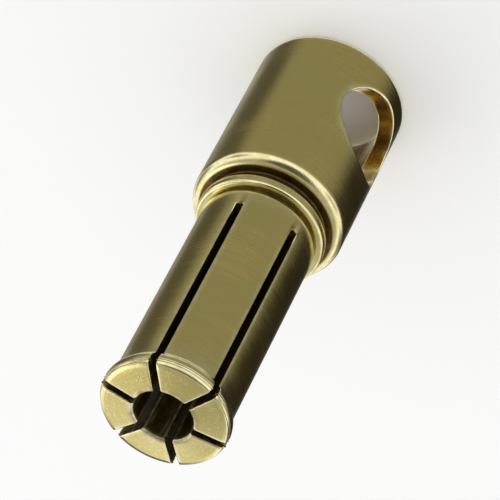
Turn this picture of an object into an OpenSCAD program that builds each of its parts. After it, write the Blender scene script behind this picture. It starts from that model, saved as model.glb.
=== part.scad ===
// Gold plated battery lead plug: a slotted bullet contact turned from one bar.
// Stands on the rim of its solder cup, the contact nose up along +Z. All sizes in mm.

/* [Solder cup] */
// Outside diameter of the solder cup
cup_d = 5; // [4.6:0.05:6]
// Length of the cup from its rim to the shoulder
cup_length = 6.5; // [5.5:0.1:9]
// Bore that takes the stripped lead
cup_bore_d = 3.9; // [2.8:0.05:4.2]
// Depth of the bore, without its drill point
cup_bore_depth = 5; // [4:0.1:5.2]
// Chamfer round the outside of the rim
rim_chamfer = 0.14; // [0.05:0.01:0.25]
// Chamfer at the mouth of the bore
mouth_chamfer = 0.12; // [0.05:0.01:0.2]
// Rounding of the shoulder where the cup ends
shoulder_round = 0.3; // [0.1:0.02:0.4]

/* [Solder windows] */
// Diameter of the cross hole through both cup walls
window_d = 3.1; // [2:0.05:3.3]
// Strip of wall left between the rim and the hole
window_strip = 0.9; // [0.6:0.05:1.2]

/* [Collar] */
// Diameter at the bottom of the groove behind the cup
groove_d = 3.9; // [3.7:0.05:4.1]
// Width of the groove
groove_width = 0.3; // [0.15:0.05:0.5]
// Diameter of the collar ring
collar_d = 4.24; // [4.1:0.02:4.6]
// Length of the collar ring
collar_length = 0.4; // [0.35:0.05:0.8]
// Rounding of the two collar edges
collar_round = 0.12; // [0.05:0.01:0.15]
// Diameter of the relief cut next to the shaft
relief_d = 3.6; // [3.4:0.05:3.7]
// Width of the relief cut
relief_width = 0.16; // [0.1:0.02:0.3]

/* [Contact] */
// Length from the cup rim to the tip
overall_length = 15.8; // [14.2:0.2:20]
// Diameter of the slotted shaft
shaft_d = 3.8; // [3.75:0.01:3.95]
// Diameter of the nose over its contact land
nose_d = 4.15; // [4.05:0.01:4.3]
// Length of the whole nose bulge
nose_length = 0.75; // [0.7:0.05:1.4]
// Length of the cylindrical contact land
land_length = 0.24; // [0.15:0.01:0.3]
// Distance from the tip to the land
land_setback = 0.22; // [0.18:0.01:0.3]
// Diameter where the rounded nose meets the end face
end_face_d = 3.72; // [3.3:0.02:3.8]
// Height of the shallow cone on the end face
end_face_dish = 0.07; // [0.03:0.01:0.12]

/* [Spring slots] */
// Diameter of the bore inside the petals
nose_bore_d = 1.9; // [1.5:0.05:2.1]
// Depth of that bore from the tip, without its drill point
nose_bore_depth = 8.1; // [7:0.1:8.4]
// Chamfer at its mouth
nose_chamfer = 0.06; // [0.02:0.01:0.12]
// Width of each saw slot
slot_width = 0.25; // [0.15:0.01:0.4]
// Depth of the slots from the tip, on the axis
slot_depth = 7.95; // [6:0.05:8.1]
// Radius of the slitting saw that leaves the curved slot floor
saw_radius = 12; // [9:0.5:20]
// Number of slots, two for each pass of the saw
slot_count = 6; // [4:2:8]
// Turn of the slots from the windows, in degrees
slot_turn = 18; // [0:1:60]

/* [Hidden] */
$fn = 64;
over = 1;                                   // how far a cutter runs past the face it opens
drill_point = 118;
groove_top = cup_length + groove_width;
collar_top = groove_top + collar_length;
shaft_start = collar_top + relief_width;
land_top = overall_length - land_setback;
land_base = land_top - land_length;
nose_base = overall_length - nose_length;
window_z = window_strip + window_d / 2;

// points of a quarter round from angle a0 to a1 about a centre [r, z]
function round_points(centre, radius, a0, a1, steps) =
    [for (i = [0 : steps])
        let (a = a0 + (a1 - a0) * i / steps)
        [centre[0] + radius * cos(a), centre[1] + radius * sin(a)]];

// half outline of the turned bar, from the axis out and up to the tip
function outline() = concat(
    [[0, 0], [cup_d / 2 - rim_chamfer, 0], [cup_d / 2, rim_chamfer]],
    round_points([cup_d / 2 - shoulder_round, cup_length - shoulder_round], shoulder_round, 0, 90, 4),
    [[groove_d / 2, cup_length], [groove_d / 2, groove_top]],
    round_points([collar_d / 2 - collar_round, groove_top + collar_round], collar_round, -90, 0, 3),
    round_points([collar_d / 2 - collar_round, collar_top - collar_round], collar_round, 0, 90, 3),
    [[relief_d / 2, collar_top], [relief_d / 2, shaft_start], [shaft_d / 2, shaft_start]],
    nose_points(),
    [[0, overall_length + end_face_dish]]);

// the shaft swells to the land in two slopes, then the land rolls over to the end face
function nose_points() = let (
        rise = (nose_d - shaft_d) / 2,
        ramp = land_base - nose_base,
        fall = nose_d / 2 - end_face_d / 2,
        drop = land_setback - end_face_dish,
        mouth = nose_bore_d / 2 + nose_chamfer,
        slope = end_face_dish / (end_face_d / 2 - mouth))
    [
        [shaft_d / 2, nose_base],
        [shaft_d / 2 + rise * 0.38, nose_base + ramp * 0.3],
        [shaft_d / 2 + rise * 0.82, nose_base + ramp * 0.68],
        [nose_d / 2, land_base],
        [nose_d / 2, land_top],
        [nose_d / 2 - fall * 0.12, land_top + drop * 0.4],
        [nose_d / 2 - fall * 0.42, land_top + drop * 0.78],
        [end_face_d / 2, land_top + drop],
        [mouth / 2, overall_length + slope * mouth / 2],
    ];

// twist drilled blind hole with a broken edge, its mouth at z = 0 and its point towards +Z
module drilled_hole(d, depth, chamfer) {
    point = d / 2 / tan(drill_point / 2);
    rotate_extrude() polygon([
        [0, -over], [d / 2 + chamfer + over, -over], [d / 2, chamfer],
        [d / 2, depth], [0, depth + point]]);
}

// one slot from the bore out through the wall, with the floor that a round saw leaves
module saw_slot() {
    intersection() {
        translate([0, 0, overall_length - slot_depth + saw_radius])
            rotate([90, 0, 0]) cylinder(r = saw_radius, h = slot_width, center = true);
        translate([slot_width * 1.5, -slot_width, overall_length - slot_depth - over])
            cube([nose_d, 2 * slot_width, slot_depth + 2 * over]);
    }
}

// cup bore, and the cross hole through both walls
module cup_cuts() {
    drilled_hole(cup_bore_d, cup_bore_depth, mouth_chamfer);
    translate([0, 0, window_z]) rotate([90, 0, 0]) cylinder(d = window_d, h = cup_d + 2 * over, center = true);
}

// bore that leaves the petals room to spring, and the slots that part them
module nose_cuts() {
    translate([0, 0, overall_length]) mirror([0, 0, 1]) drilled_hole(nose_bore_d, nose_bore_depth, nose_chamfer);
    for (i = [0 : slot_count - 1])
        rotate([0, 0, 90 + slot_turn + i * 360 / slot_count]) saw_slot();
}

module plug_body() {
    color([0.78, 0.68, 0.36])
    difference() {
        rotate_extrude() polygon(outline());
        cup_cuts();
        nose_cuts();
    }
}

plug_body();
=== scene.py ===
# Slotted bullet plug for a battery lead, standing on the rim of its solder cup.
import bpy
import bmesh
import numpy as np
from mathutils import Matrix, Vector


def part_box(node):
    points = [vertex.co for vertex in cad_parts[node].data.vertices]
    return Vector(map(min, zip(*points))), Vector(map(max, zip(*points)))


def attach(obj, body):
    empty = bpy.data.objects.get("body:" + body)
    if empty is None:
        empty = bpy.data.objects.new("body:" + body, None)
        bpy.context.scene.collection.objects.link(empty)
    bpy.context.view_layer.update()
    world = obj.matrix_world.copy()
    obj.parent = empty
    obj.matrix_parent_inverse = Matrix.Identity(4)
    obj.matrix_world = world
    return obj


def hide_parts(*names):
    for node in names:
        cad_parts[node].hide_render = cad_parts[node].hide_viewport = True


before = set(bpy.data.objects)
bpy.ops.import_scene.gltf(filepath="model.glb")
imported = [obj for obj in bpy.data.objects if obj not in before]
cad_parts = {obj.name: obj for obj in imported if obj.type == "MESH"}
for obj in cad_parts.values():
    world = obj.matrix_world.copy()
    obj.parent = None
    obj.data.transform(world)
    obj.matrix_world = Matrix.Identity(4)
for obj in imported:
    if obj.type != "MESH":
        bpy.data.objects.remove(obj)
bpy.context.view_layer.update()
mm = 0.001

# camera
view = {
    "azimuth": -42.0,        # degrees round +Z, where the camera stands
    "elevation": 45.0,       # degrees above the floor
    "distance": 110 * mm,
    "axisInPicture": -62.3,  # slant of the plug in the frame, from nose to cup, clockwise
    "fieldWidth": 15.5 * mm,  # width seen at the plug's middle
    "aim": (0, 0, 7.95 * mm),
    "sensor": 36,            # mm
}


# Right, up and backward of the camera: backward points from the plug to the lens, and right and
# up are turned until the plug's axis lies at the wanted slant.
def viewAxes():
    az, el, slant = np.radians([view["azimuth"], view["elevation"], view["axisInPicture"]])
    back = Vector((np.cos(az) * np.cos(el), np.sin(az) * np.cos(el), np.sin(el)))
    along = (Vector((0, 0, 1)) - back * back.z).normalized()      # cup to nose, as it is seen
    side = back.cross(along)
    c, s = -np.cos(slant), np.sin(slant)                          # cup to nose in the frame, y up
    return along * c - side * s, along * s + side * c, back


right, up, back = viewAxes()
camData = bpy.data.cameras.new("camera")
camData.sensor_width = view["sensor"]
camData.lens = view["sensor"] * view["distance"] / view["fieldWidth"]
camData.clip_start = 0.005
camera = bpy.data.objects.new("camera", camData)
camera.matrix_world = Matrix.Translation(Vector(view["aim"]) + back * view["distance"]) @ \
    Matrix((right, up, back)).transposed().to_4x4()
bpy.context.collection.objects.link(camera)
bpy.context.scene.camera = camera
print("camera set")

# plug shape
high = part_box("plug_body")[1]
plug = {                                  # mm, z up from the cup's rim
    "length": high.z / mm,
    "cupR": high.x / mm,
    "cupLength": 6.5,
    "boreR": 1.95,
    "boreDepth": 5.0,
    "rimChamfer": 0.14,
    "mouthChamfer": 0.12,
    "shoulderRound": 0.3,
    "windowR": 1.55,
    "windowZ": 2.45,
    "grooveR": 1.95,
    "grooveWidth": 0.3,
    "collarR": 2.12,
    "collarLength": 0.4,
    "reliefR": 1.8,
    "reliefWidth": 0.16,
    "shaftR": 1.9,
    "noseR": 2.075,
    "noseLength": 0.75,
    "noseCrown": 0.028,                   # the land is a little barrel-shaped
    "landLength": 0.24,
    "landSetback": 0.22,
    "endFaceR": 1.86,
    "endFaceDish": 0.07,
    "noseBoreR": 0.95,
    "noseBoreDepth": 8.1,
    "noseChamfer": 0.06,
    "slotWidth": 0.25,
    "slotDepth": 7.95,
    "sawR": 12.0,
    "slotTurn": 18.0,
    "slots": 6,
    "edge": 0.03,                         # edges broken by tumbling
    "windowEdge": 0.05,
    "drillPoint": 118,                    # degrees
    "lowSeam": 0.3,                       # where the cup's wall patches meet the rim,
    "highSeam": 0.36,                     # the shoulder, measured down from it,
    "boreSeam": 0.1,                      # and the bore's end, measured down from it
    "petalSteps": 26,                     # grid steps across a petal,
    "slotSteps": 4,                       # across a slot,
    "wallSteps": 6,                       # through a petal,
    "sideSteps": 44,                      # up the cup,
    "raySteps": 18,                       # and out from a window's edge,
    "raySpread": 1.25,                    # closer together near it
    "weld": 2e-7,                         # m
}
drillSlope = np.tan(np.radians(90 - plug["drillPoint"] / 2))


# Straight runs between corners [r, z], each corner cut back by radius * tan(half turn) and
# bridged by the circle that touches both runs.
def roundedPath(corners, radii, steps=5):
    corners = np.array(corners, float)
    path = [corners[:1]]
    for before, at, after, radius in zip(corners, corners[1:], corners[2:], radii):
        a, b = before - at, after - at
        a, b = a / np.linalg.norm(a), b / np.linalg.norm(b)
        half = np.arccos(np.clip(a @ b, -1, 1)) / 2
        if radius <= 0 or half > 1.55:
            path.append(at[None])
            continue
        centre = at + (a + b) / np.linalg.norm(a + b) * radius / np.sin(half)
        start = at + a * radius / np.tan(half) - centre
        end = at + b * radius / np.tan(half) - centre
        turn = np.arctan2(start[0] * end[1] - start[1] * end[0], start @ end)
        w = turn * np.linspace(0, 1, steps + 1)
        path.append(centre + np.stack([start[0] * np.cos(w) - start[1] * np.sin(w),
                                       start[0] * np.sin(w) + start[1] * np.cos(w)], 1))
    path.append(corners[-1:])
    return np.concatenate(path)


# Points of a path at the given shares of its length.
def resample(path, where):
    run = np.concatenate([[0], np.cumsum(np.linalg.norm(np.diff(path, axis=0), axis=1))])
    run /= run[-1]
    return np.stack([np.interp(where, run, path[:, k]) for k in (0, 1)], 1)


# Collects grids of points [rows, columns, 3] with an edge and a recess value each.
class Skin:

    def __init__(self):
        self.points, self.quads, self.marks, self.count = [], [], [], 0

    def add(self, x, y, z, wrap=False, edge=0.0, recess=0.0):
        x, y, z, edge, recess = np.broadcast_arrays(x, y, z, edge, recess)
        rows, cols = x.shape
        index = self.count + np.arange(rows * cols).reshape(rows, cols)
        if wrap:
            index = np.concatenate([index, index[:, :1]], 1)
        corners = [index[:-1, :-1], index[:-1, 1:], index[1:, 1:], index[1:, :-1]]
        self.quads.append(np.stack(corners, -1).reshape(-1, 4))
        self.points.append(np.stack([x, y, z], -1).reshape(-1, 3))
        self.marks.append(np.stack([edge, recess], -1).reshape(-1, 2))
        self.count += rows * cols

    def build(self, name):
        points, quads = np.concatenate(self.points) * mm, np.concatenate(self.quads)
        marks = np.concatenate(self.marks)
        mesh = bpy.data.meshes.new(name)
        mesh.from_pydata(points, [], quads)
        # the edge value carries wear and painted highlight, the recess value painted shade
        for k, attribute in enumerate(("edgeGlintWear", "recess")):
            mesh.attributes.new(attribute, "FLOAT", "POINT").data.foreach_set(
                "value", marks[:, k].astype(np.float32))
        shell = bmesh.new()
        shell.from_mesh(mesh)
        bmesh.ops.remove_doubles(shell, verts=shell.verts, dist=plug["weld"])
        bmesh.ops.recalc_face_normals(shell, faces=shell.faces)
        openEdges = sum(1 for e in shell.edges if not e.is_manifold)
        shell.to_mesh(mesh)
        shell.free()
        mesh.shade_smooth()
        print(name, "faces", len(mesh.polygons), "open edges", openEdges)
        return mesh


# A point at a radius, an angle and a height, with the three spread over one grid.
def polar(radius, angle, z):
    return radius * np.cos(angle), radius * np.sin(angle), z + 0 * radius * angle


# A profile [r, z] turned round Z: x = r cos a, y = r sin a.
def lathe(skin, path, angles, edge=0.0, recess=0.0):
    edge, recess = np.broadcast_to(edge, len(path)), np.broadcast_to(recess, len(path))
    skin.add(*polar(path[:, :1], angles[None], path[:, 1:]), wrap=True,
             edge=edge[:, None], recess=recess[:, None])


# 1 where a profile turns sharply, fading over a short reach to 0 on straight runs.
def edgeOf(path, reach=0.09):
    step = np.diff(path, axis=0)
    angle = np.unwrap(np.arctan2(step[:, 1], step[:, 0]))
    bend = np.abs(np.diff(angle, prepend=angle[0], append=angle[-1]))
    run = np.concatenate([[0], np.cumsum(np.linalg.norm(step, axis=1))])
    near = np.exp(-(((run[:, None] - run[None]) / reach) ** 2)) * np.clip(bend / 0.35, 0, 1)[None]
    return np.clip(near.max(1), 0, 1)


# Middle angle of every slot, the half angle of a slot's mouth at a radius, asin(q / r), and the
# angle from slot to slot.
def slotAngles(radius):
    half = np.arcsin((plug["slotWidth"] / 2 + plug["edge"]) / radius)
    pitch = 2 * np.pi / plug["slots"]
    centre = np.radians(90 + plug["slotTurn"]) + pitch * np.arange(plug["slots"])
    return centre, half, pitch


# Share of each petal's width at its columns, with the two columns nearest the X axis moved onto
# it, so that the cup's two halves meet there.
def petalShares(radius):
    centre, half, pitch = slotAngles(radius)
    share = np.tile(np.linspace(0, 1, plug["petalSteps"] + 1), (plug["slots"], 1))
    start = centre + half
    for target in (0, np.pi):
        place = ((target - start) % (2 * np.pi)) / (pitch - 2 * half)
        k = int(np.argmin(np.where(place > 1, 9, place)))
        share[k, int(round(place[k] * plug["petalSteps"]))] = place[k]
    return share


# Angles round the whole ring at one radius: for each slot, points across its mouth at
# asin(q / r), then points over the petal after it.
def ringAngles(radius, share):
    centre, half, pitch = slotAngles(radius)
    q = np.linspace(-1, 1, plug["slotSteps"] + 1)[:-1] * (plug["slotWidth"] / 2 + plug["edge"])
    across = centre[:, None] + np.arcsin(q / radius)[None]
    over = centre[:, None] + half + share[:, :-1] * (pitch - 2 * half)
    return np.concatenate([across, over], 1).reshape(-1)


# Height of the slot floor, the arc that a round saw leaves.
def slotFloor(radius):
    lowest = plug["length"] - plug["slotDepth"]
    return lowest + plug["sawR"] - np.sqrt(plug["sawR"] ** 2 - radius ** 2)


# Outside of a petal up to its end face, the end face, and the inside down to the root. The nose
# rises by half a cosine to a slightly crowned land and rolls over in short rounded runs. The
# inside has as many rows as the outside, at the same shares of its length.
def noseProfile():
    p, e = plug, plug["edge"]
    top = p["length"]
    base, landTop = top - p["noseLength"], top - p["landSetback"]
    landLow = top - p["landSetback"] - p["landLength"]
    mouth = p["noseBoreR"] + p["noseChamfer"]
    root = slotFloor(p["shaftR"] - e) - e
    shaft = np.stack([np.full(12, p["shaftR"]), np.linspace(root, base, 12)], 1)
    w = np.linspace(0, 1, 11)[1:]
    crown = p["noseCrown"]
    ramp = np.stack([p["shaftR"] + (p["noseR"] - crown - p["shaftR"]) * (1 - np.cos(np.pi * w)) / 2,
                     base + (landLow - base) * w], 1)
    fall, drop = p["noseR"] - p["endFaceR"], p["landSetback"] - p["endFaceDish"]
    roll = roundedPath([[p["noseR"] - crown, landLow], [p["noseR"], landLow + 0.1],
                        [p["noseR"] - crown, landTop - 0.03],
                        [p["noseR"] - 0.14 * fall, landTop + 0.25 * drop],
                        [p["noseR"] - 0.42 * fall, landTop + 0.78 * drop],
                        [p["endFaceR"], landTop + drop], [mouth, top]],
                       [0.3, 0.4, 0.25, 0.09, 0.06], 5)[1:-1]
    outer = np.concatenate([shaft, ramp, roll])
    slope = p["endFaceDish"] / (p["endFaceR"] - mouth)
    last = outer[-1]
    faceR = np.linspace(last[0], mouth + 0.03, p["wallSteps"] + 1)
    face = np.stack([faceR, last[1] + (last[0] - faceR) * slope], 1)
    run = np.concatenate([[0], np.cumsum(np.linalg.norm(np.diff(outer, axis=0), axis=1))])
    inside = roundedPath([face[-1], [mouth, face[-1][1] + 0.03 * slope],
                          [p["noseBoreR"], top - p["noseChamfer"]],
                          [p["noseBoreR"], slotFloor(p["noseBoreR"] + e) - e]], [0.03, 0.05], 5)
    inner = resample(inside, 1 - run[::-1] / run[-1])
    return outer, face, inner


# The petals and the slots between them. A petal is the profile swept from slot to slot. A slot has
# a rounded strip along each edge, quarter circles of the edge radius, then flat sides and the floor.
def petals(skin):
    p, e = plug, plug["edge"]
    outer, face, inner = noseProfile()
    sheet = np.concatenate([outer, face[1:], inner[1:]])
    h, m = len(outer), p["wallSteps"]
    centre, half, pitch = slotAngles(sheet[:, 0])
    share = petalShares(p["shaftR"])
    tangent = np.gradient(sheet, axis=0)
    tangent /= np.linalg.norm(tangent, axis=1)[:, None]
    inward = np.stack([-tangent[:, 1], tangent[:, 0]], 1)
    inward[0], inward[-1] = (-1, 0), (1, 0)
    sheetEdge = edgeOf(sheet)
    recess = np.zeros(len(sheet))
    # the inside of each petal: recess 1, painted shade near black
    recess[h + m - 1:] = 1
    sideEdge = np.exp(-(np.minimum(share, 1 - share) / 0.05) ** 2)
    for k in range(p["slots"]):                       # outside, end face and inside of each petal
        angle = centre[k] + half[:, None] + share[k][None] * (pitch - 2 * half[:, None])
        skin.add(*polar(sheet[:, :1], angle, sheet[:, 1:]),
                 edge=np.maximum(sheetEdge[:, None], sideEdge[k][None]), recess=recess[:, None])
    turn = np.linspace(0, np.pi / 2, 4)
    floorOut, floorIn = slotFloor(p["shaftR"] - e), slotFloor(p["noseBoreR"] + e)
    inset = sheet[None] + inward[None] * (e * (1 - np.cos(turn)))[:, None, None]
    inset[:, 0, 1] = floorOut - e * (1 - np.sin(turn))
    inset[:, -1, 1] = floorIn - e * (1 - np.sin(turn))
    q = p["slotWidth"] / 2 + e * (1 - np.sin(turn))
    wall = np.zeros((h, m + 1, 2))                    # flat side of a slot, from outside to inside
    s = np.linspace(0, 1, m + 1)
    last = inset[-1]
    wall[:] = last[:h, None] + (last[::-1][:h, None] - last[:h, None]) * s[None, :, None]
    wall[0, :, 1] = slotFloor(wall[0, :, 0])
    wall[-1] = last[h - 1:h + m]
    floorR = np.concatenate([p["shaftR"] - e * (1 - np.cos(turn)), wall[0, 1:-1, 0],
                             p["noseBoreR"] + e * (1 - np.cos(turn[::-1]))])
    floorZ = np.concatenate([inset[:, 0, 1], wall[0, 1:-1, 1], inset[::-1, -1, 1]])
    floorQ = np.concatenate([q, np.full(m - 1, p["slotWidth"] / 2), q[::-1]])
    across = np.linspace(-1, 1, p["slotSteps"] + 1)

    # points at a radius and at a distance from the slot's middle plane
    def placed(radius, offset, z, k, **marks):
        angle = centre[k] + np.arcsin(offset / radius)
        skin.add(*polar(radius, angle, z), **marks)

    for k in range(p["slots"]):
        for side in (-1, 1):
            # slot edges, walls and floor: recess values for painted shade
            placed(inset[..., 0], side * q[:, None], inset[..., 1], k, edge=1.0,
                   recess=np.broadcast_to(np.clip(recess + 0.2, 0, 1), inset.shape[:2]))
            placed(wall[..., 0], side * p["slotWidth"] / 2, wall[..., 1], k, recess=1.0)
        placed(floorR[:, None], floorQ[:, None] * across[None], floorZ[:, None], k, recess=1.0)


# Half the cup's wall round one window. Lines run from the window's edge, the curve where a cross
# hole meets the cylinder (angle asin(a cos w / R), height a sin w), out to the border of the half
# wall, and both ends are shared with the pieces they meet.
def cupHalf(skin, middle, angles, radius, bottom, top, ringR, columns, recess):
    local = (angles - middle + np.pi) % (2 * np.pi) - np.pi
    local = np.sort(local[np.abs(local) < np.pi / 2 + 1e-6])
    local[[0, -1]] = -np.pi / 2, np.pi / 2
    climb = np.linspace(0, 1, plug["sideSteps"] + 1)
    lower, upper = bottom - plug["windowZ"], top - plug["windowZ"]
    side = np.full(len(climb) - 2, np.pi / 2)
    a = np.concatenate([local, side, local[::-1], -side])
    b = np.concatenate([np.full(len(local), lower), lower + (upper - lower) * climb[1:-1],
                        np.full(len(local), upper), upper + (lower - upper) * climb[1:-1]])
    if columns is None:
        columns = np.arctan2(b, a * radius)
    holeA = np.arcsin(ringR * np.cos(columns) / radius)
    holeB = ringR * np.sin(columns)
    t = (np.linspace(0, 1, plug["raySteps"] + 1) ** plug["raySpread"])[:, None]
    angle = middle + holeA + (a - holeA) * t
    z = plug["windowZ"] + holeB + (b - holeB) * t
    near = np.exp(-(t * 18) ** 2)
    skin.add(*polar(radius, angle, z), wrap=True, edge=near, recess=recess)
    return columns


# The cup: outer and inner wall round both windows, the windows' sleeves with rounded edges, the
# rim, and the drilled end of the bore.
def cup(skin, angles):
    p, e = plug, plug["windowEdge"]
    low, high = p["lowSeam"], p["cupLength"] - p["highSeam"]
    bore, depth = p["boreR"], p["boreDepth"]
    turn = np.linspace(0, np.pi / 2, 5)
    holeR = np.concatenate([p["windowR"] + e * (1 - np.sin(turn)), np.full(3, p["windowR"]),
                            p["windowR"] + e * (1 - np.sin(turn[::-1]))])
    wallR = np.concatenate([p["cupR"] - e * (1 - np.cos(turn)),
                            np.linspace(p["cupR"] - e, p["boreR"] + e, 5)[1:-1],
                            p["boreR"] + e * (1 - np.cos(turn[::-1]))])
    sleeveEdge = np.concatenate([np.ones(5), np.zeros(3), np.ones(5)])
    # inner wall and bore end get recess 0.5, the sleeves 0.25: painted shade inside the cup
    for middle in (np.pi / 2, -np.pi / 2):
        columns = cupHalf(skin, middle, angles, p["cupR"], low, high, holeR[0], None, 0.0)
        cupHalf(skin, middle, angles, bore, low, depth - p["boreSeam"], holeR[-1], columns, 0.5)
        x = holeR[:, None] * np.cos(columns)[None]
        skin.add(*polar(wallR[:, None], middle + np.arcsin(x / wallR[:, None]),
                        p["windowZ"] + holeR[:, None] * np.sin(columns)[None]), wrap=True,
                 edge=sleeveEdge[:, None], recess=0.25)
    rim = roundedPath([[bore, low], [bore, p["mouthChamfer"]], [bore + p["mouthChamfer"], 0],
                       [p["cupR"] - p["rimChamfer"], 0], [p["cupR"], p["rimChamfer"]], [p["cupR"], low]],
                      [0.03, 0.04, 0.06, 0.08], 4)
    lathe(skin, rim, angles, edge=edgeOf(rim))
    end = roundedPath([[bore, depth - p["boreSeam"]], [bore, depth],
                       [bore * 0.5, depth + bore * 0.5 * drillSlope],
                       [0, depth + bore * drillSlope]], [0.05, 0], 4)
    lathe(skin, end, angles, recess=0.5)


# Shoulder, groove, collar, relief and the shaft up to the slots, as one rounded profile.
def waist(skin, angles):
    p = plug
    z0 = p["cupLength"]
    z1 = z0 + p["grooveWidth"]
    z2 = z1 + p["collarLength"]
    z3 = z2 + p["reliefWidth"]
    end = slotFloor(p["shaftR"] - p["edge"]) - p["edge"]
    path = roundedPath(
        [[p["cupR"], z0 - p["highSeam"]], [p["cupR"], z0], [p["grooveR"], z0], [p["grooveR"], z1],
         [p["collarR"], z1], [p["collarR"], z2], [p["reliefR"], z2], [p["reliefR"], z3],
         [p["shaftR"], z3], [p["shaftR"], end]],
        [p["shoulderRound"], 0.05, 0.03, 0.08, 0.1, 0.03, 0.03, 0.04], 6)
    r, z = path.T
    # groove and relief: recess 1, painted shade near black, and no painted edge highlight
    inGroove = (r < p["cupR"] - 0.24) & (z > z0 - 0.012) & (z < z1 + 0.02)
    inRelief = (r < p["shaftR"] - 0.03) & (z > z2) & (z < z3)
    narrow = (inGroove | inRelief) * 1.0
    lathe(skin, path, angles, edge=edgeOf(path, 0.06) * (1 - narrow), recess=narrow)


# The drilled end of the nose bore, below the slots: a wall and a cone turned round Z.
def noseBoreEnd(skin, angles):
    p = plug
    r, bottom = p["noseBoreR"], p["length"] - p["noseBoreDepth"]
    path = roundedPath([[r, slotFloor(r + p["edge"]) - p["edge"]], [r, bottom],
                        [r / 2, bottom - r / 2 * drillSlope], [0, bottom - r * drillSlope]], [0.04, 0], 4)
    # recess 1: painted shade near black in the nose bore
    lathe(skin, path, angles, recess=1.0)


skin = Skin()
shares = petalShares(plug["shaftR"])
outerRing = ringAngles(plug["shaftR"], shares)
petals(skin)
waist(skin, outerRing)
cup(skin, outerRing)
noseBoreEnd(skin, ringAngles(plug["noseBoreR"], shares))
plugObject = bpy.data.objects.new("bullet_plug", skin.build("bullet_plug"))
bpy.context.collection.objects.link(plugObject)
even = plugObject.modifiers.new("even shading", "WEIGHTED_NORMAL")
even.mode = "FACE_AREA"
even.weight = 50
even.keep_sharp = True
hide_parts("plug_body")
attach(plugObject, "root")
print("plug built")


# materials
def node(tree, kind, location=(0, 0), **settings):
    made = tree.nodes.new(kind)
    made.location = location
    for key, value in settings.items():
        setattr(made, key, value)
    return made


def wire(tree, *pairs):
    for source, target in pairs:
        tree.links.new(source, target)


def newGroup(name, inputs, outputs):
    tree = bpy.data.node_groups.new(name, "ShaderNodeTree")
    for label, kind, value in inputs:
        socket = tree.interface.new_socket(label, in_out="INPUT", socket_type=kind)
        if value is not None:
            socket.default_value = value
    for label in outputs:
        tree.interface.new_socket(label, in_out="OUTPUT", socket_type="NodeSocketFloat")
    return tree, node(tree, "NodeGroupInput", (-1000, 0)), node(tree, "NodeGroupOutput", (800, 0))


def useGroup(tree, group, location, **values):
    made = node(tree, "ShaderNodeGroup", location, node_tree=group)
    for label, value in values.items():
        made.inputs[label].default_value = value
    return made


def scaled(tree, vector, factors, location):
    made = node(tree, "ShaderNodeVectorMath", location, operation="MULTIPLY")
    made.inputs[1].default_value = factors
    wire(tree, (vector, made.inputs[0]))
    return made.outputs[0]


def noise(tree, vector, scale, detail, location):
    made = node(tree, "ShaderNodeTexNoise", location)
    made.inputs["Scale"].default_value = scale
    made.inputs["Detail"].default_value = detail
    wire(tree, (vector, made.inputs["Vector"]))
    return made.outputs["Fac"]


def ranged(tree, value, low, high, out0, out1, location):
    made = node(tree, "ShaderNodeMapRange", location)
    for label, number in (("From Min", low), ("From Max", high), ("To Min", out0), ("To Max", out1)):
        made.inputs[label].default_value = number
    wire(tree, (value, made.inputs["Value"]))
    return made.outputs["Result"]


def maths(tree, operation, first, second, location):
    made = node(tree, "ShaderNodeMath", location, operation=operation)
    for socket, value in zip(made.inputs, (first, second)):
        if isinstance(value, (int, float)):
            socket.default_value = value
        else:
            wire(tree, (value, socket))
    return made.outputs[0]


def blend(tree, factor, first, second, location):
    made = node(tree, "ShaderNodeMix", location, data_type="RGBA")
    for socket, value in ((made.inputs["A"], first), (made.inputs["B"], second)):
        if isinstance(value, tuple):
            socket.default_value = value
        else:
            wire(tree, (value, socket))
    wire(tree, (factor, made.inputs["Factor"]))
    return made.outputs["Result"]


# Turning marks: noise of (radius, height, a little of x), so that the rings run round walls and
# round end faces alike and none is quite even.
def turningMarks():
    tree, start, end = newGroup("turningMarks", [("Position", "NodeSocketVector", None),
                                                 ("Rings", "NodeSocketFloat", 12.0)],
                                ["Height", "Band"])
    flat = scaled(tree, start.outputs["Position"], (1, 1, 0), (-800, 100))
    length = node(tree, "ShaderNodeVectorMath", (-620, 100), operation="LENGTH")
    parts = node(tree, "ShaderNodeSeparateXYZ", (-800, -100))
    joined = node(tree, "ShaderNodeCombineXYZ", (-440, 0))
    rings = node(tree, "ShaderNodeVectorMath", (-260, 0), operation="SCALE")
    wire(tree, (flat, length.inputs[0]), (start.outputs["Position"], parts.inputs[0]),
         (length.outputs["Value"], joined.inputs["X"]), (parts.outputs["Z"], joined.inputs["Y"]),
         (maths(tree, "MULTIPLY", parts.outputs["X"], 0.035, (-620, -200)), joined.inputs["Z"]),
         (joined.outputs[0], rings.inputs[0]), (start.outputs["Rings"], rings.inputs["Scale"]))
    fine = noise(tree, rings.outputs[0], 1.0, 3.0, (-80, 100))
    band = noise(tree, rings.outputs[0], 0.22, 2.0, (-80, -150))
    height = maths(tree, "ADD", maths(tree, "MULTIPLY", fine, 0.65, (140, 100)),
                   maths(tree, "MULTIPLY", band, 0.35, (140, -100)), (320, 0))
    wire(tree, (height, end.inputs["Height"]), (band, end.inputs["Band"]))
    return tree


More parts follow.
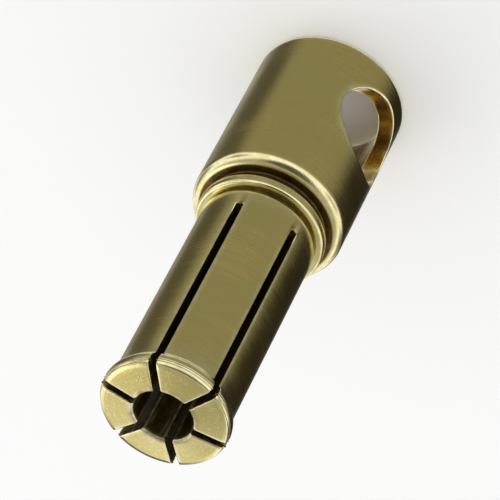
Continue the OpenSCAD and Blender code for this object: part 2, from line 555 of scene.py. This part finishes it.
# Rub marks: noise drawn out along the plug, kept above a threshold, and hairlines along the cell
# borders of a slanted and drawn-out cell pattern, kept in patches.
def rubMarks():
    tree, start, end = newGroup("rubMarks", [("Position", "NodeSocketVector", None)],
                                ["Streaks", "Hairlines"])
    position = start.outputs["Position"]
    drawnOut = scaled(tree, position, (11, 11, 0.5), (-800, 200))
    streaks = ranged(tree, noise(tree, drawnOut, 1.0, 2.0, (-600, 200)), 0.54, 0.68, 0, 1, (-400, 200))
    slant = node(tree, "ShaderNodeVectorRotate", (-800, -100), rotation_type="EULER_XYZ")
    slant.inputs["Rotation"].default_value = (0.5, 0.9, 0.3)
    wire(tree, (position, slant.inputs["Vector"]))
    cells = node(tree, "ShaderNodeTexVoronoi", (-420, -100), feature="DISTANCE_TO_EDGE")
    cells.inputs["Scale"].default_value = 1.0
    slanted = scaled(tree, slant.outputs[0], (0.35, 2.6, 1.6), (-600, -100))
    wire(tree, (slanted, cells.inputs["Vector"]))
    line = ranged(tree, cells.outputs["Distance"], 0.0, 0.03, 1, 0, (-220, -100))
    patch = ranged(tree, noise(tree, position, 0.8, 1.0, (-420, -350)), 0.5, 0.6, 0, 1, (-220, -350))
    hairlines = maths(tree, "MULTIPLY", line, patch, (0, -200))
    wire(tree, (streaks, end.inputs["Streaks"]), (hairlines, end.inputs["Hairlines"]))
    return tree


gold = {
    "plate": (0.62, 0.54, 0.2, 1),
    "warm": (0.58, 0.46, 0.15, 1),        # thinner plate, where the brass shows through a little
    "wornAndGlint": (0.86, 0.8, 0.46, 1),         # painted highlight on edges, partly rubbed wear, and rub marks on the nose
    "bore": (0.5, 0.33, 0.085, 1),        # painted shade: darker, browner plate inside the cup, in its windows and along the slots
    "recessShade": (0.075, 0.05, 0.014, 1),   # painted shade, near black, in the grooves, slots and the nose bore
    "roughness": 0.22,
    "ringsPerMm": 12.0,
    "markDepth": 0.0045 * mm,
    "noseFrom": 14.95,                    # mm, where the rub marks of mating begin
    "recessShadeRough": 0.22,                 # roughness added with the painted shade in the hollows
    "wearAndGlintPolish": 0.06,                   # and that the rubbing and the painted edge highlight take away
}


def goldMaterial():
    material = bpy.data.materials.new("goldPlate")
    material.use_nodes = True
    tree = material.node_tree
    shader = tree.nodes["Principled BSDF"]
    place = node(tree, "ShaderNodeTexCoord", (-1900, 0))
    inMm = node(tree, "ShaderNodeVectorMath", (-1720, 0), operation="SCALE")
    inMm.inputs["Scale"].default_value = 1 / mm
    wire(tree, (place.outputs["Object"], inMm.inputs[0]))
    position = inMm.outputs[0]
    recess = node(tree, "ShaderNodeAttribute", (-1500, -500), attribute_name="recess").outputs["Fac"]
    edge = node(tree, "ShaderNodeAttribute", (-1500, -300), attribute_name="edgeGlintWear").outputs["Fac"]
    turning = useGroup(tree, turningMarks(), (-1400, 300), Rings=gold["ringsPerMm"])
    rubbing = useGroup(tree, rubMarks(), (-1400, 100))
    wire(tree, (position, turning.inputs["Position"]), (position, rubbing.inputs["Position"]))
    cloud = noise(tree, position, 0.55, 3.0, (-1400, -100))
    speck = noise(tree, position, 3.2, 4.0, (-1400, 600))
    height = node(tree, "ShaderNodeSeparateXYZ", (-1500, 900))
    wire(tree, (position, height.inputs[0]))
    nose = ranged(tree, height.outputs["Z"], gold["noseFrom"] - 0.2, gold["noseFrom"] + 0.2, 0.12, 1,
                  (-1300, 900))
    streak = maths(tree, "MULTIPLY", rubbing.outputs["Streaks"], nose, (-1100, 800))
    # painted shade: recess up to 0.5 blends the plate towards the darker bore colour inside the cup, in
    # the windows and along the slots
    bore = ranged(tree, recess, 0.0, 0.5, 0, 1, (-1300, -700))
    # painted shade: recess from 0.5 to 1 blends towards near black in the grooves, slots and nose bore, a
    # little uneven
    recessShade = maths(tree, "MULTIPLY", ranged(tree, recess, 0.5, 1.0, 0, 1, (-1300, -500)),
                    ranged(tree, speck, 0.3, 0.7, 0.78, 1, (-1100, -600)), (-900, -500))
    # painted highlight, partly wear: sharp edges turn towards the pale worn colour in patches, and the
    # nose adds rub streaks, which are wear
    wearAndGlint = maths(tree, "MULTIPLY", edge, ranged(tree, speck, 0.32, 0.6, 0.3, 0.85, (-1100, -300)),
                 (-900, -300))
    wearAndGlint = maths(tree, "MAXIMUM", wearAndGlint, maths(tree, "MULTIPLY", streak, 0.35, (-900, -150)), (-700, -250))
    plate = blend(tree, ranged(tree, cloud, 0.35, 0.7, 0, 0.7, (-900, 300)),
                  gold["plate"], gold["warm"], (-700, 300))
    plate = blend(tree, ranged(tree, turning.outputs["Band"], 0.45, 0.75, 0, 0.45, (-900, 100)),
                  plate, gold["warm"], (-500, 300))
    # painted shade in the cup and the hollows, then painted highlight with wear on the edges
    plate = blend(tree, bore, plate, gold["bore"], (-400, 250))
    plate = blend(tree, recessShade, plate, gold["recessShade"], (-260, 250))
    plate = blend(tree, wearAndGlint, plate, gold["wornAndGlint"], (-120, 250))
    wire(tree, (plate, shader.inputs["Base Color"]))
    smooth, dull = gold["roughness"] - 0.04, gold["roughness"] + 0.07
    rough = maths(tree, "ADD", ranged(tree, cloud, 0.3, 0.7, smooth, dull, (-900, -800)),
                  ranged(tree, turning.outputs["Height"], 0.3, 0.7, -0.03, 0.05, (-900, -1000)),
                  (-700, -850))
    rough = maths(tree, "ADD", rough,
                  maths(tree, "MULTIPLY", recessShade, gold["recessShadeRough"], (-700, -1000)), (-500, -850))
    rough = maths(tree, "SUBTRACT", rough,
                  maths(tree, "MULTIPLY", wearAndGlint, gold["wearAndGlintPolish"], (-500, -1000)), (-300, -850))
    wire(tree, (rough, shader.inputs["Roughness"]))
    relief = maths(tree, "SUBTRACT", turning.outputs["Height"],
                   maths(tree, "MULTIPLY", rubbing.outputs["Hairlines"], 0.3, (-900, 500)), (-700, 550))
    relief = maths(tree, "SUBTRACT", relief,
                   maths(tree, "MULTIPLY", streak, 0.15, (-700, 700)), (-500, 550))
    bump = node(tree, "ShaderNodeBump", (-300, -200))
    bump.inputs["Distance"].default_value = gold["markDepth"]
    wire(tree, (relief, bump.inputs["Height"]), (bump.outputs[0], shader.inputs["Normal"]))
    shader.inputs["Metallic"].default_value = 1
    return material


plugObject.data.materials.append(goldMaterial())
print("materials made")

# floor, light and surroundings
studio = {
    "floor": (0.92, 0.92, 0.915, 1),
    "floorRough": 0.9,
    "floorSize": 1.2,
    "keyFrom": (-0.2, 0.75, 0.9),
    "keyDistance": 0.16,
    "keySize": 0.07,
    "keyPower": 0.02,
    "lampAim": (0, 0, 0.008),
    "brightBand": (1.35, 1.37, 1.6, 1),   # round the horizon
}


def floorPlane():
    half = studio["floorSize"] / 2
    mesh = bpy.data.meshes.new("floor")
    corners = [(-half, -half, 0), (half, -half, 0), (half, half, 0), (-half, half, 0)]
    mesh.from_pydata(corners, [], [(0, 1, 2, 3)])
    material = bpy.data.materials.new("paleFloor")
    material.use_nodes = True
    shader = material.node_tree.nodes["Principled BSDF"]
    shader.inputs["Base Color"].default_value = studio["floor"]
    shader.inputs["Roughness"].default_value = studio["floorRough"]
    mesh.materials.append(material)
    plane = bpy.data.objects.new("floor", mesh)
    plane.visible_glossy = False          # the metal reflects the grey room, not the white floor
    bpy.context.collection.objects.link(plane)


# A direction given as right, up and towards the lens, turned into the plug's frame.
def inPicture(x, y, z):
    return (right * x + up * y + back * z).normalized()


# A level direction, turned by so many degrees from where the camera stands.
def roundAbout(turn):
    a = np.radians(view["azimuth"] + turn)
    return (float(np.cos(a)), float(np.sin(a)), 0.0)


# A pale room: white to the camera and to diffuse light. Reflections see soft zones instead, each
# a disc round a direction, laid over the ones before it.
def surroundings():
    world = bpy.data.worlds.new("room")
    bpy.context.scene.world = world
    world.use_nodes = True
    tree = world.node_tree
    tree.nodes.clear()
    place = node(tree, "ShaderNodeTexCoord")
    lowAway = (-back.x * 0.36, -back.y * 0.36, -0.96)
    zones = [                                             # direction, full and faded angle, colour
        ((0, 0, 1), 40, 62, (0.5, 0.5, 0.5)),             # grey ceiling
        ((0, 0, -1), 52, 68, (0.36, 0.355, 0.325)),       # grey below the bright band
        (tuple(back), 22, 38, (0.09, 0.085, 0.075)),      # dark behind the lens
        (roundAbout(72), 5, 20, (0.4, 0.39, 0.36)),       # flags that break up the bright band
        (roundAbout(-66), 4, 18, (0.5, 0.49, 0.46)),
        (roundAbout(126), 8, 24, (0.3, 0.29, 0.26)),
        (roundAbout(180), 12, 30, (0.14, 0.13, 0.11)),
        (roundAbout(-122), 8, 24, (0.22, 0.21, 0.18)),
        (lowAway, 20, 32, (1.5, 1.52, 1.85)),             # soft box low behind the plug
        (tuple(inPicture(-0.5, 0.5, -0.6)), 12, 26, (0.12, 0.11, 0.1)),        # dark on both sides
        (tuple(inPicture(0.66, -0.06, -0.75)), 18, 42, (0.03, 0.025, 0.02)),
    ]
    colour = node(tree, "ShaderNodeRGB").outputs[0]
    colour.default_value = studio["brightBand"]
    for direction, full, faded, shade in zones:
        dot = node(tree, "ShaderNodeVectorMath", operation="DOT_PRODUCT")
        dot.inputs[1].default_value = direction
        fade = node(tree, "ShaderNodeMapRange", interpolation_type="SMOOTHSTEP")
        fade.inputs["From Min"].default_value = np.cos(np.radians(faded))
        fade.inputs["From Max"].default_value = np.cos(np.radians(full))
        mix = node(tree, "ShaderNodeMix", data_type="RGBA")
        mix.inputs["B"].default_value = (*shade, 1)
        wire(tree, (place.outputs["Generated"], dot.inputs[0]),
             (dot.outputs["Value"], fade.inputs["Value"]),
             (fade.outputs["Result"], mix.inputs["Factor"]), (colour, mix.inputs["A"]))
        colour = mix.outputs["Result"]
    rays = node(tree, "ShaderNodeLightPath")
    seen = node(tree, "ShaderNodeMix", data_type="RGBA")
    seen.inputs["A"].default_value = (1, 1, 1, 1)
    background = node(tree, "ShaderNodeBackground")
    output = node(tree, "ShaderNodeOutputWorld")
    wire(tree, (rays.outputs["Is Glossy Ray"], seen.inputs["Factor"]), (colour, seen.inputs["B"]),
         (seen.outputs["Result"], background.inputs["Color"]),
         (background.outputs[0], output.inputs["Surface"]))


def areaLamp(name, direction, distance, size, power):
    data = bpy.data.lights.new(name, "AREA")
    data.size = size
    data.energy = power
    lamp = bpy.data.objects.new(name, data)
    direction = Vector(direction).normalized()
    lamp.location = Vector(studio["lampAim"]) + direction * distance
    lamp.rotation_euler = direction.to_track_quat("Z", "Y").to_euler()
    lamp.visible_camera = False
    bpy.context.collection.objects.link(lamp)


floorPlane()
surroundings()
areaLamp("key", studio["keyFrom"], studio["keyDistance"], studio["keySize"], studio["keyPower"])
bpy.context.scene.view_settings.view_transform = "Standard"
print("studio set")
